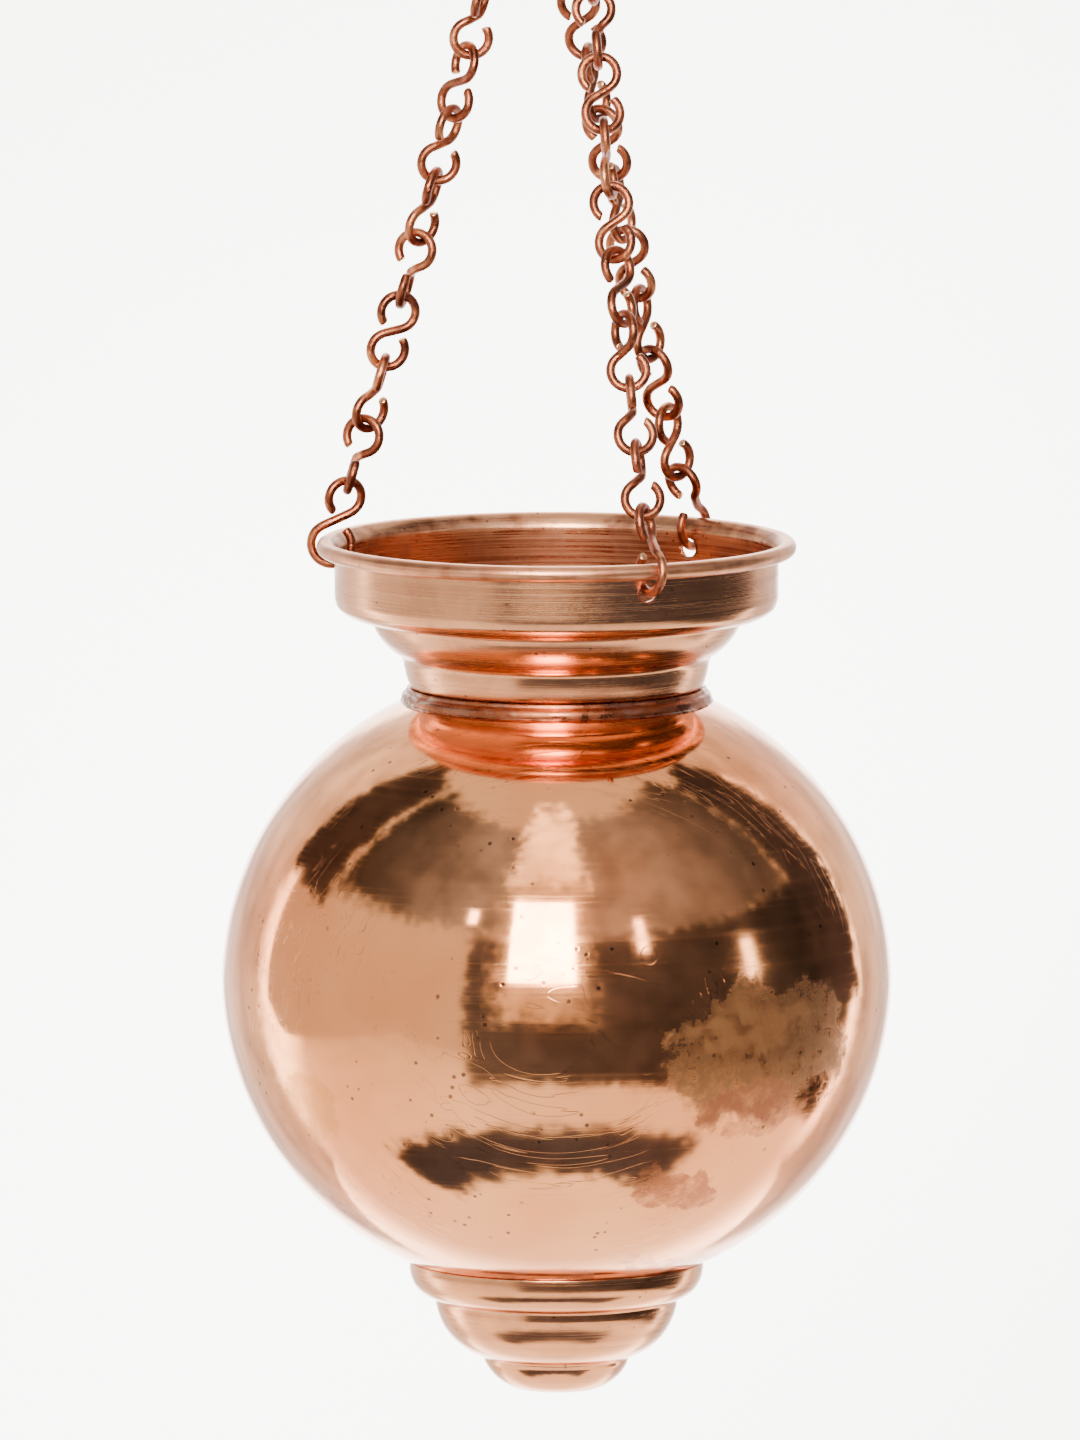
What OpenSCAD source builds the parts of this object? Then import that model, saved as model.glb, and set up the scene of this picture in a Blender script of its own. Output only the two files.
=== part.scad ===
// Hanging copper drip pot: a round pot with a stepped mouth and foot, hung by three
// chains of hand-bent S links from a gathering ring and a hook.
// The origin is where the hook rests on its support, inside the top of the hook's upper
// bend. Z points up, the pot's axis is the Z axis, and the chains' front link faces -Y.

/* [Globe] */
// Outside diameter of the globe
globe_d = 165; // [162:0.5:168]
// Height of the globe if it ran on to both poles
globe_h = 158.4; // [157:0.2:160]
// How far the two bowls overlap at the middle of the globe
bowl_overlap = 2.8; // [0:0.1:4]
// Thickness of the copper sheet
sheet = 0.9; // [0.7:0.1:1.1]

/* [Heights above the underside of the foot] */
// Middle of the globe
globe_mid = 101.6; // [101:0.1:102]
// Top of the neck collar
collar_top = 174.1; // [173.8:0.1:174.1]
// Middle of the rolled rim
rim_up = 208.7; // [208:0.1:210]

/* [Mouth] */
// Radius of the middle of the rolled rim
rim_r = 57; // [56.8:0.1:57.2]
// Radius of the roll's own section
roll_r = 2; // [1.8:0.1:2.1]
// Outside radius of the straight band under the rim
band_r = 54.6; // [54.4:0.1:54.8]
// Radius of the three chain holes
hole_r = 2.3; // [2.2:0.05:2.5]
// How far the chain holes are below the middle of the rim
hole_drop = 5.3; // [5.2:0.1:5.5]

/* [Neck] */
// Outside radius of the mouth's sleeve, which stands inside the collar
sleeve_r = 34.9; // [34.5:0.1:35]
// Outside radius of the collar at its top
collar_r = 37; // [36.8:0.1:37.5]

/* [Foot] */
// Radius of the foot at its widest
foot_r = 36.3; // [36:0.1:36.6]
// Radius of the drip hole
drip_r = 1.5; // [1:0.1:2.5]

/* [Chains] */
// Radius of the chain wire
wire_r = 1.15; // [1.1:0.01:1.15]
// Radius of an eye, to the middle of its wire
eye_r = 4.35; // [4.3:0.01:4.4]
// Radius of the lowest eye, which goes round the rim
rim_eye_r = 5; // [4.9:0.05:5.1]
// Gap between two eyes that hang in each other
eye_gap = 0.12; // [0.1:0.01:0.15]
// Length of the lowest link between the middles of its eyes
last_link = 12; // [11.8:0.1:12.2]
// Height of the ring's lowest wire above the middle of the rim
drop = 181; // [180:0.5:183]
// How far round an eye its wire goes, in degrees
wrap = 295; // [275:1:296]

/* [Ring and hook] */
// Radius of the gathering ring, to the middle of its wire
ring_r = 16; // [15.5:0.1:16.5]
// Radius of the ring's wire
ring_wire_r = 1.5; // [1.4:0.05:1.5]
// Radius of the hook's wire
hook_wire_r = 1.75; // [1.6:0.05:1.8]
// Radius of the hook's upper bend, to the middle of its wire
hook_top_r = 9; // [8.5:0.1:9.5]
// Radius of the hook's lower bend, to the middle of its wire
hook_low_r = 6; // [5.8:0.1:6.2]
// Distance between the middles of the hook's bends
hook_span = 19; // [18:0.5:20]

/* [Hidden] */
LINKS = 12;
$fn = 96;

copper = [0.78, 0.47, 0.34];
dull_copper = [0.66, 0.38, 0.27];
solder = [0.72, 0.62, 0.56];

ring_gap = 0.45;
hang_gap = 0.15;
seam = 0.05;

// Each chain: x on the gathering ring, bearing of its hole round the rim, twist of its
// lowest eye away from that bearing, sag, and the roll of each upper and each lower eye.
// A roll of 0 shows the eye's open face along Y, and 90 shows it along X.
hole_bearings = [172.5, 52.5, -66];
chain_tops = [-7.1, -2.8, 5.1];
last_twists = [0, 0, 10];
sags = [1.5, 3, 3];
upper_rolls = [
    [90, -15, 100, 75, -60, 60, 75, -20, 15, 85, -25, 25],
    [90, 10, 95, -10, 80, -25, 75, -10, 70, -40, 60, -40],
    [90, -10, 90, 0, 0, 90, 5, 45, -60, 90, 80, 70]];
lower_rolls = [
    [80, 5, 0, 5, -40, 10, 45, 80, 15, 40, 90],
    [100, 20, 75, -20, 60, -10, 60, -25, 50, -25, 45],
    [68, 10, 80, 90, 12, 75, -25, 55, 0, 10, 5]];

// Heights, from the hang point down
hook_top_z = -(hook_top_r - hook_wire_r);
hook_low_z = hook_top_z - hook_span;
saddle_z = hook_low_z - hook_low_r;
ring_z = saddle_z + ring_wire_r + hook_wire_r + hang_gap - ring_r;
rim_z = ring_z - ring_r - drop;
base_z = rim_z - rim_up;

// Each bowl of the globe is a round arc that meets the middle upright, with its centre
// off the axis; neck_r is where the bowl of height globe_h / 2 is measured.
neck_r = 36.9;
neck_rise = globe_h / 2 * sqrt(1 - pow(2 * neck_r / globe_d, 2));
bowl_in = globe_d / 2 - neck_r;
bowl_r = (neck_rise * neck_rise + bowl_in * bowl_in) / (2 * bowl_in);
bowl_off = globe_d / 2 - bowl_r;

function unit(v) = v / norm(v);
// A round stretch from a to b that stands h out to the right of the way from a to b
function bow(a, b, h, n = 8) = let (m = (a + b) / 2, d = b - a,
    c = m + 2 * h * [d[1], -d[0]] / norm(d))
    [for (i = [0:n]) let (t = i / n) (1 - t) * (1 - t) * a + 2 * t * (1 - t) * c + t * t * b];
// The inside of a sheet wall whose outside line runs outwards as it rises
function inside(p, t) = [for (q = p) q + [-t, t]];
function reversed(p) = [for (i = [len(p) - 1:-1:0]) p[i]];

// Globe ------------------------------------------------------------------------------
module bowl_section(r, up) {
    centre = globe_mid - up * bowl_overlap / 2;
    intersection() {
        translate([bowl_off, centre]) circle(r);
        translate([0, up > 0 ? globe_mid : globe_mid - globe_d]) square([globe_d, globe_d]);
    }
}
module globe_section(grow) {
    bowl_section(bowl_r + grow, 1);
    bowl_section(bowl_r + grow, -1);
}
module globe_blank(grow) rotate_extrude() globe_section(grow);
neck_hole_r = 35;
foot_hole_r = 30;
module globe() color(copper) translate([0, 0, base_z]) rotate_extrude() difference() {
    globe_section(0);
    globe_section(-sheet);
    translate([0, globe_mid]) square([neck_hole_r, globe_d]);
    translate([0, globe_mid - globe_d]) square([foot_hole_r, globe_d]);
}

// Neck collar: stands on the globe, with a soft ridge round its base --------------------
ridge_r = collar_r + 1.2;
// Height of the globe's upper bowl at radius r
function bowl_top(r) = globe_mid - bowl_overlap / 2 + sqrt(pow(bowl_r, 2) - pow(r - bowl_off, 2));
module neck_collar() color(solder) translate([0, 0, base_z]) rotate_extrude()
    polygon(concat([[sleeve_r + seam, collar_top],
        [sleeve_r + seam, bowl_top(sleeve_r) + seam], [ridge_r, bowl_top(ridge_r) + seam]],
        bow([ridge_r, bowl_top(ridge_r) + 1.2], [collar_r, 173.2], 0.3, 4),
        [[collar_r - 0.1, collar_top]]));

// Mouth: sleeve, two stepped tiers, straight band and rolled rim --------------------------
tier_low = [[36, -34.4], [37.7, -27.8]];
tier_mid = [[38.3, -26.6], [45.6, -17.8]];
mouth_outer = concat(
    [[sleeve_r, -38.4], [sleeve_r, -34.5]],
    bow(tier_low[0], tier_low[1], 0.25, 3),
    bow(tier_mid[0], tier_mid[1], 1.1),
    bow([46.3, -16.9], [band_r - 0.6, -14.4], 1.2, 6),
    [[band_r, -12.4], [band_r, -1.6]]);
// The top of the band runs out into the middle of the roll
rim_web = [[rim_r - 1.7, -0.9], [rim_r, -0.6], [rim_r, 0.9], [rim_r - 2.1, 1.2],
    [band_r - 0.8, 0.6]];
module chain_hole(bearing) rotate([0, 0, bearing]) translate([band_r - 4, 0, -hole_drop])
    rotate([0, 90, 0]) cylinder(r = hole_r, h = 8);
module mouth() color(copper) translate([0, 0, rim_z]) difference() {
    rotate_extrude() {
        polygon(concat(mouth_outer, rim_web, reversed(inside(mouth_outer, sheet))));
        translate([rim_r, 0]) circle(roll_r);
    }
    for (bearing = hole_bearings) chain_hole(bearing);
}

// Foot: three stepped tiers that narrow to a small flat base with the drip hole -----------
foot_tiers = [[[foot_r, 32.5], [foot_r, 30], [30.4, 22.6], 1.6],
    [[29.9, 22.4], [29.7, 20.4], [18.6, 8.1], 2.3],
    [[18, 7.8], [17.7, 6.6], [10.3, 0], 1.1]];
foot_outer = [for (t = foot_tiers) each concat([t[0]], bow(t[1], t[2], -t[3]))];
foot_floor = 1;
module foot() color(copper) translate([0, 0, base_z]) difference() {
    rotate_extrude() difference() {
        polygon(concat([[0, 32.5]], foot_outer, [[0, 0]]));
        polygon(concat([[0, 34], [foot_r - sheet, 34]],
            [for (p = inside(foot_outer, sheet)) if (p[1] > foot_floor) p],
            [[10, foot_floor], [0, foot_floor]]));
        translate([0, -1]) square([drip_r, 4]);
    }
    globe_blank(seam);
}

// Ring and hook --------------------------------------------------------------------------
module gathering_ring() color(dull_copper) translate([0, 0, ring_z]) rotate([90, 0, 0])
    rotate_extrude() translate([ring_r, 0]) circle(ring_wire_r);
module hook() color(dull_copper) s_wire([0, 0, hook_top_z], [0, 0, hook_low_z],
    hook_top_r, hook_low_r, 90, 90, hook_wire_r, [225, 235]);

// A wire bent into an S: an eye round each of two points, the rest of it crossing between.
// Each eye's plane holds the line between the points and is rolled about it.
module arc_wire(r, wire, from, turn) rotate([90, 0, 0]) rotate_extrude(angle = turn,
    start = from) translate([r, 0]) circle(wire);
module straight_wire(a, b, wire) {
    d = b - a;
    translate(a) rotate([0, acos(d[2] / norm(d)), atan2(d[1], d[0])])
        cylinder(r = wire, h = norm(d));
}
module s_wire(top, low, top_r, low_r, top_roll, low_roll, wire, turns) {
    z = unit(top - low);
    x = unit([1, 0, 0] - z[0] * z);
    y = cross(z, x);
    span = norm(top - low);
    lean = asin((top_r + low_r) / span);
    twist = (low_roll - top_roll + 450) % 180 - 90;
    low_turned = top_roll + twist;
    a = [top_r * cos(lean) * cos(top_roll), top_r * cos(lean) * sin(top_roll),
        span - top_r * sin(lean)];
    b = [-low_r * cos(lean) * cos(low_turned), -low_r * cos(lean) * sin(low_turned),
        low_r * sin(lean)];
    multmatrix([[x[0], y[0], z[0], low[0]], [x[1], y[1], z[1], low[1]],
        [x[2], y[2], z[2], low[2]], [0, 0, 0, 1]]) {
        translate([0, 0, span]) rotate([0, 0, top_roll])
            arc_wire(top_r, wire, -lean, turns[0]);
        rotate([0, 0, low_turned]) arc_wire(low_r, wire, 180 - lean, turns[1]);
        straight_wire(a, b, wire);
        for (end = [a, b]) translate(end) sphere(wire * bend_fill);
    }
}
// A bend's fill is a little fuller than the wire
bend_fill = 1.03;

// Chains ---------------------------------------------------------------------------------
join = 2 * eye_r - 2 * wire_r - eye_gap;
rim_eye_out = 55.9;
wall_mid = band_r - sheet / 2;
rim_eye_rise = 5.2;
function rim_eye(c) = let (bearing = hole_bearings[c], roll = bearing + last_twists[c],
    out = (rim_eye_out - wall_mid) / cos(last_twists[c]))
    [wall_mid * cos(bearing) + out * cos(roll), wall_mid * sin(bearing) + out * sin(roll),
        rim_z - hole_drop + rim_eye_rise];
function ring_spot(c) = [chain_tops[c], 0,
    ring_z - sqrt(ring_r * ring_r - chain_tops[c] * chain_tops[c])];
function top_eye(c) = ring_spot(c) + unit(rim_eye(c) - ring_spot(c))
    * (eye_r - ring_wire_r - wire_r - ring_gap);
function run(c) = norm(rim_eye(c) - top_eye(c));
function link_span(c) = (run(c) - last_link - (LINKS - 1) * join) / (LINKS - 1);
// The middle of an eye that is s along chain c, which hangs in a shallow curve
function on_chain(c, s) = let (way = unit(rim_eye(c) - top_eye(c)), t = s / run(c),
    down = unit([0, 0, -1] + way[2] * way))
    top_eye(c) + way * s + down * 4 * sags[c] * t * (1 - t);
module chain_link(c, i) {
    s = (i - 1) * (link_span(c) + join);
    last = i == LINKS;
    span = last ? last_link : link_span(c);
    color(dull_copper) s_wire(on_chain(c, s), on_chain(c, s + span), eye_r,
        last ? rim_eye_r : eye_r, upper_rolls[c][i - 1],
        last ? hole_bearings[c] + last_twists[c] : lower_rolls[c][i - 1], wire_r,
        [wrap, wrap]);
}

globe();
neck_collar();
mouth();
foot();
gathering_ring();
hook();
for (i = [1:LINKS]) {
    chain_link(0, i);
    chain_link(1, i);
    chain_link(2, i);
}
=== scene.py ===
"""Looks of a hanging copper drip pot: the spun pot, its soldered neck, three chains, ring and hook.

Every size is in millimetres in the row frame (origin under the crown of the hook, +Z up) and is
turned into metres when a mesh is made.
"""

from __future__ import annotations

import logging  # noqa: E402
import math  # noqa: E402
from dataclasses import dataclass, field  # noqa: E402
from enum import Enum  # noqa: E402

import bpy  # noqa: E402
import numpy as np  # noqa: E402
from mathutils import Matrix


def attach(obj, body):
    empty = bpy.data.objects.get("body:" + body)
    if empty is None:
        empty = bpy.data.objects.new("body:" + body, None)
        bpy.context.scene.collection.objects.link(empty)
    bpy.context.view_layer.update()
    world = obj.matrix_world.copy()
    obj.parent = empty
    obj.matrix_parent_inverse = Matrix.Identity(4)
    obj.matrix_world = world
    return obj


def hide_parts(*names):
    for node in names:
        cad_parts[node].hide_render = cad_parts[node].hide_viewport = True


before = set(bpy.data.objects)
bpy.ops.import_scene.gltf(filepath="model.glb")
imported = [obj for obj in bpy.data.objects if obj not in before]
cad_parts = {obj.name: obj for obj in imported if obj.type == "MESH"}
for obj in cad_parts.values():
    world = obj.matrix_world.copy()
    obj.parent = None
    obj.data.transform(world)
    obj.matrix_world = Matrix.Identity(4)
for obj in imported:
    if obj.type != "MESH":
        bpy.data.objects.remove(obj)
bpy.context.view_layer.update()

logging.basicConfig(level=logging.INFO, format="%(levelname)s %(message)s")
log = logging.getLogger("drip_pot")

MM = 0.001
Colour = tuple[float, float, float]
Point = tuple[float, float, float]
Socket = bpy.types.NodeSocket
Material = bpy.types.Material
Object = bpy.types.Object

RIM_Z = -241.85
BASE_Z = -450.55
GLOBE_Z = BASE_Z + 101.6
RING_Z = -44.85
TURN_STEPS = 256


class Body(Enum):
    """The bodies that pieces ride on; each link below the first has a body of its own."""

    HANGER = "hanger"
    RING = "ring"
    CHAIN_TOPS = "chain_tops"
    POT = "pot"


class Slot(Enum):
    """The record's material slots."""

    POLISHED = "polished_copper"
    BRUSHED = "brushed_copper"
    SOLDERED = "soldered_neck"
    CHAIN = "chain_copper"


# Meshes -------------------------------------------------------------------------------------


def grid_faces(rows: int, cols: int, wrap_rows: bool, wrap_cols: bool) -> np.ndarray:
    """Quads of a grid of points stored row by row, each point joined to its right and lower one.

    Args:
        rows: Points down the grid.
        cols: Points across it.
        wrap_rows: Whether the last row joins the first.
        wrap_cols: Whether the last column joins the first.

    Returns:
        An (n, 4) array of point numbers.
    """
    i, j = np.meshgrid(
        np.arange(rows if wrap_rows else rows - 1),
        np.arange(cols if wrap_cols else cols - 1),
        indexing="ij",
    )
    down, right = (i + 1) % rows, (j + 1) % cols
    quads = [i * cols + j, down * cols + j, down * cols + right, i * cols + right]
    return np.stack(quads, -1).reshape(-1, 4)


def signed_volume(points: np.ndarray, faces: list[np.ndarray]) -> float:
    """Six times the volume that the faces enclose: positive if they point outwards."""
    total = 0.0
    for group in faces:
        a = points[group[:, 0]]
        for k in range(1, group.shape[1] - 1):
            b, c = points[group[:, k]], points[group[:, k + 1]]
            total += float(np.einsum("ij,ij->", a, np.cross(b, c)))
    return total


def mesh_object(name: str, points: np.ndarray, faces: list[np.ndarray],
                closed: bool = True) -> Object:
    """Makes a smooth-shaded object at the origin from points in millimetres.

    Args:
        name: The object's name.
        points: An (n, 3) array.
        faces: Arrays of point numbers, one array for quads and one for triangles.
        closed: Whether the faces enclose a solid, whose faces are then turned outwards.

    Returns:
        The linked object.
    """
    if closed and signed_volume(points, faces) < 0:
        faces = [group[:, ::-1] for group in faces]
    mesh = bpy.data.meshes.new(name)
    listed = [face for group in faces for face in group.tolist()]
    mesh.from_pydata((points * MM).tolist(), [], listed)
    mesh.shade_smooth()
    mesh.update()
    made = bpy.data.objects.new(name, mesh)
    bpy.context.scene.collection.objects.link(made)
    return made


def point_attribute(piece: Object, name: str, values: np.ndarray) -> None:
    """Stores one number per point under a name that a material can read."""
    made = piece.data.attributes.new(name, "FLOAT", "POINT")
    made.data.foreach_set("value", values.astype(np.float32).ravel())


def settle(piece: Object, finishes: tuple[Material, ...], body: str,
           slot: Slot, *nodes: str) -> None:
    """Paints a piece, rides it on its body, and lets it stand for its CAD nodes.

    Args:
        piece: The finished piece.
        finishes: Its materials, in the order of its zones.
        body: Name of the body it moves with.
        slot: The material slot of the record; not used.
        nodes: CAD nodes that it replaces.
    """
    for finish in finishes:
        piece.data.materials.append(finish)
    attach(piece, body)
    if nodes:
        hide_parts(*nodes)
    log.info("piece %s on %s, %d faces", piece.name, body, len(piece.data.polygons))


def distances(line: np.ndarray) -> np.ndarray:
    """How far along an open line each of its points lies, from 0."""
    return np.concatenate([[0], np.cumsum(np.linalg.norm(np.diff(line, axis=0), axis=1))])


def two_turns(rows: int, cols: int) -> tuple[np.ndarray, np.ndarray]:
    """The angles of a ring of rings: a changes from row to row and b from column to column."""
    a, b = (np.linspace(0, 2 * math.pi, count, endpoint=False) for count in (rows, cols))
    return tuple(np.meshgrid(a, b, indexing="ij"))


def rounded(line: np.ndarray, radius: float, closed: bool = True) -> np.ndarray:
    """Rounds each corner with the parabola that leaves its two edges radius away from the corner.

    Args:
        line: An (n, 2) outline.
        radius: How far along each edge the corner starts, at most 0.45 of the edge.
        closed: Whether the last point joins the first.

    Returns:
        The outline with four points in place of each corner.
    """
    before, after = np.roll(line, 1, 0) - line, np.roll(line, -1, 0) - line
    before_l = np.linalg.norm(before, axis=1, keepdims=True)
    after_l = np.linalg.norm(after, axis=1, keepdims=True)
    start = line + before / before_l * np.minimum(radius, 0.45 * before_l)
    end = line + after / after_l * np.minimum(radius, 0.45 * after_l)
    t = np.linspace(0, 1, 4)[None, :, None]
    made = (1 - t) ** 2 * start[:, None] + 2 * t * (1 - t) * line[:, None] + t**2 * end[:, None]
    out = made.reshape(-1, 2)
    return out if closed else np.vstack([line[:1], out[4:-4], line[-1:]])


def stepped(line: np.ndarray, step: float, closed: bool = True) -> np.ndarray:
    """Adds points to an outline so that none of its edges is much longer than step.

    Args:
        line: An (n, 2) outline.
        step: The longest edge.
        closed: Whether the last point joins the first.

    Returns:
        The outline with its own points kept.
    """
    ring = np.vstack([line, line[:1]]) if closed else line
    at = distances(ring)
    extra = np.arange(0, at[-1], step)
    near = np.abs(extra[:, None] - at[None, :]).min(1) > 0.3 * step
    every = np.sort(np.concatenate([at[:-1] if closed else at, extra[near]]))
    return np.stack([np.interp(every, at, ring[:, 0]), np.interp(every, at, ring[:, 1])], 1)


def bow(a: Point, b: Point, h: float, n: int = 12) -> np.ndarray:
    """A parabola from a to b whose middle stands h out to the right of the way from a to b."""
    p, q = np.array(a, float), np.array(b, float)
    d = q - p
    c = (p + q) / 2 + 2 * h * np.array([d[1], -d[0]]) / np.linalg.norm(d)
    t = np.linspace(0, 1, n)[:, None]
    return (1 - t) ** 2 * p + 2 * t * (1 - t) * c + t**2 * q


def sharpness(line: np.ndarray, reach: int) -> np.ndarray:
    """How sharply a closed outline turns outwards near each point, from 0 to 1.

    Args:
        line: An (n, 2) outline.
        reach: How many points on each side share a corner's value.

    Returns:
        One number per point.
    """
    a, b = line - np.roll(line, 1, 0), np.roll(line, -1, 0) - line
    turn = np.abs(np.arctan2(a[:, 0] * b[:, 1] - a[:, 1] * b[:, 0], (a * b).sum(1)))
    spread = sum(np.roll(turn, k) * (1 - abs(k) / (reach + 1)) for k in range(-reach, reach + 1))
    return np.clip(spread / 0.9, 0, 1)


@dataclass
class Dents:
    """The slight unevenness of spun and hand-held sheet: a few waves round and up the wall."""

    depth: float
    seed: int

    def at(self, angle: np.ndarray, height: np.ndarray) -> np.ndarray:
        """The sum of eight waves, each a sine of a whole number of turns plus a share of height.

        Args:
            angle: Angles round the axis, in radians.
            height: Heights, in millimetres.

        Returns:
            How far each point stands out, in millimetres.
        """
        draw = np.random.default_rng(self.seed)
        waves = draw.integers(1, 9, 8)
        rises = draw.uniform(-0.09, 0.09, 8)
        starts = draw.uniform(0, 2 * math.pi, 8)
        sizes = draw.uniform(0.3, 1, 8) / waves**0.8
        parts = [s * np.sin(w * angle + r * height + p)
                 for w, r, p, s in zip(waves, rises, starts, sizes)]
        return self.depth * sum(parts) / 2.5


def lathe(name: str, outline: np.ndarray, dents: Dents) -> Object:
    """A turned wall: the closed outline (radius, height) carried round Z.

    The point at step i of the outline and angle a is ((r_i + d) cos a, (r_i + d) sin a, z_i),
    with d the dents at that angle and height.

    Args:
        name: The piece's name.
        outline: An (n, 2) closed outline off the axis.
        dents: The unevenness of the wall.

    Returns:
        The object, with an attribute edge_wear that is 1 along its sharp edges.
    """
    angle = np.arange(TURN_STEPS) / TURN_STEPS * 2 * math.pi
    a, r = np.meshgrid(angle, outline[:, 0])
    z = np.repeat(outline[:, 1][:, None], TURN_STEPS, 1)
    r = r + dents.at(a, z)
    points = np.stack([r * np.cos(a), r * np.sin(a), z], -1).reshape(-1, 3)
    piece = mesh_object(name, points, [grid_faces(len(outline), TURN_STEPS, True, True)])
    wear = np.repeat(sharpness(outline, 2)[:, None], TURN_STEPS, 1)
    point_attribute(piece, "edge_wear", wear)
    return piece


def tube(name: str, path: np.ndarray, side: np.ndarray, radius: np.ndarray, sides: int,
         slant: float = 0.0) -> Object:
    """A round wire: a circle carried along a path, closed by a flat, slightly slanting cut.

    The point at step i and angle a is p_i + r_i (cos a e_i + sin a f_i), with t_i the path's
    direction, f_i the side direction made square to it, and e_i = f_i x t_i.

    Args:
        name: The piece's name.
        path: An (n, 3) open line.
        side: An (n, 3) array of directions that are never along the path.
        radius: The wire's radius at each step.
        sides: Steps round the wire.
        slant: How far the end cuts lean, as a share of the wire's radius.

    Returns:
        The object, with an attribute cut_end that is 1 at its cuts and fades away from them.
    """
    t = np.gradient(path, axis=0)
    t /= np.linalg.norm(t, axis=1, keepdims=True)
    f = side - (side * t).sum(1, keepdims=True) * t
    f /= np.linalg.norm(f, axis=1, keepdims=True)
    e = np.cross(f, t)
    a = np.arange(sides) / sides * 2 * math.pi
    ring = np.cos(a)[None, :, None] * e[:, None] + np.sin(a)[None, :, None] * f[:, None]
    points = path[:, None] + radius[:, None, None] * ring
    run = distances(path)
    near = np.exp(-run / 0.5) - np.exp(-(run[-1] - run) / 0.5)
    lean = (slant * near * radius)[:, None, None] * np.cos(a)[None, :, None]
    points = points + lean * t[:, None]
    flat = points.reshape(-1, 3)
    n = len(path)
    centres = np.stack([points[0].mean(0), points[-1].mean(0)])
    first = np.arange(sides)
    last = (n - 1) * sides + first
    caps = np.concatenate([
        np.stack([np.full(sides, n * sides), first, np.roll(first, -1)], 1),
        np.stack([np.full(sides, n * sides + 1), np.roll(last, -1), last], 1)])
    quads = grid_faces(n, sides, False, True)
    piece = mesh_object(name, np.vstack([flat, centres]), [quads, caps])
    ends = np.exp(-np.minimum(run, run[-1] - run) / 0.25)
    point_attribute(piece, "cut_end", np.concatenate([np.repeat(ends, sides), [1, 1]]))
    return piece


# Finishes -----------------------------------------------------------------------------------


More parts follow.
